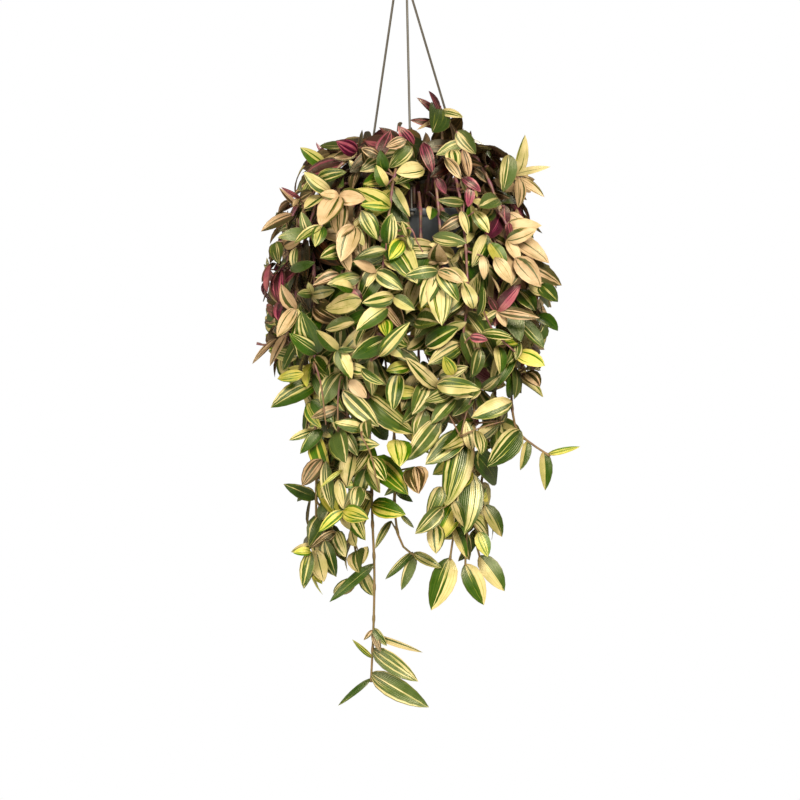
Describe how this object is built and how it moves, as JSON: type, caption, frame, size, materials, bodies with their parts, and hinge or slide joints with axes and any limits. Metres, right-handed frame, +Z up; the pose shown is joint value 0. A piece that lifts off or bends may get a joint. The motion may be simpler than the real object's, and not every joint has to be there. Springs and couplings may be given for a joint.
{
  "type": "potted tradescantia",
  "caption": "Variegated trailing plant with leafy stems that arch over a round hanging pot and trail below it, on a three-strand hanger with a hook.",
  "frame": {"origin": "inside top of the hook, where it bears on what it hangs from", "axes": "+Z up, -Y towards the front of the plant, +X to its right"},
  "size_m": [0.3591, 0.3323, 0.8665],
  "materials": {
    "foliage": "satin, striped green and cream",
    "soil": "crumbly, matt",
    "pot_plastic": "moulded, satin",
    "hanger_plastic": "moulded, satin"
  },
  "bodies": {
    "root": {"pot": "pot_plastic", "soil": "soil", "hanger_strand_front": "hanger_plastic", "hanger_strand_right": "hanger_plastic", "hanger_strand_left": "hanger_plastic", "hanger_hook": "hanger_plastic", "leafy_stem_01": "foliage", "leafy_stem_02": "foliage", "leafy_stem_03": "foliage", "leafy_stem_04": "foliage", "leafy_stem_05": "foliage", "leafy_stem_06": "foliage", "leafy_stem_07": "foliage", "leafy_stem_08": "foliage", "leafy_stem_09": "foliage", "leafy_stem_10": "foliage", "leafy_stem_11": "foliage", "leafy_stem_12": "foliage", "leafy_stem_13": "foliage", "leafy_stem_14": "foliage", "leafy_stem_15": "foliage", "leafy_stem_16": "foliage", "leafy_stem_17": "foliage", "leafy_stem_18": "foliage", "leafy_stem_19": "foliage", "leafy_stem_20": "foliage", "leafy_stem_21": "foliage", "leafy_stem_22": "foliage", "leafy_stem_23": "foliage", "leafy_stem_24": "foliage", "leafy_stem_25": "foliage", "leafy_stem_26": "foliage", "leafy_stem_27": "foliage", "leafy_stem_28": "foliage", "leafy_stem_29": "foliage", "leafy_stem_30": "foliage", "leafy_stem_31": "foliage", "leafy_stem_32": "foliage", "leafy_stem_33": "foliage", "leafy_stem_34": "foliage", "leafy_stem_35": "foliage", "leafy_stem_36": "foliage", "leafy_stem_37": "foliage", "leafy_stem_38": "foliage", "leafy_stem_39": "foliage", "leafy_stem_40": "foliage", "leafy_stem_41": "foliage", "leafy_stem_42": "foliage", "leafy_stem_43": "foliage", "leafy_stem_44": "foliage", "leafy_stem_45": "foliage", "leafy_stem_46": "foliage", "leafy_stem_47": "foliage"}
  },
  "joints": []
}
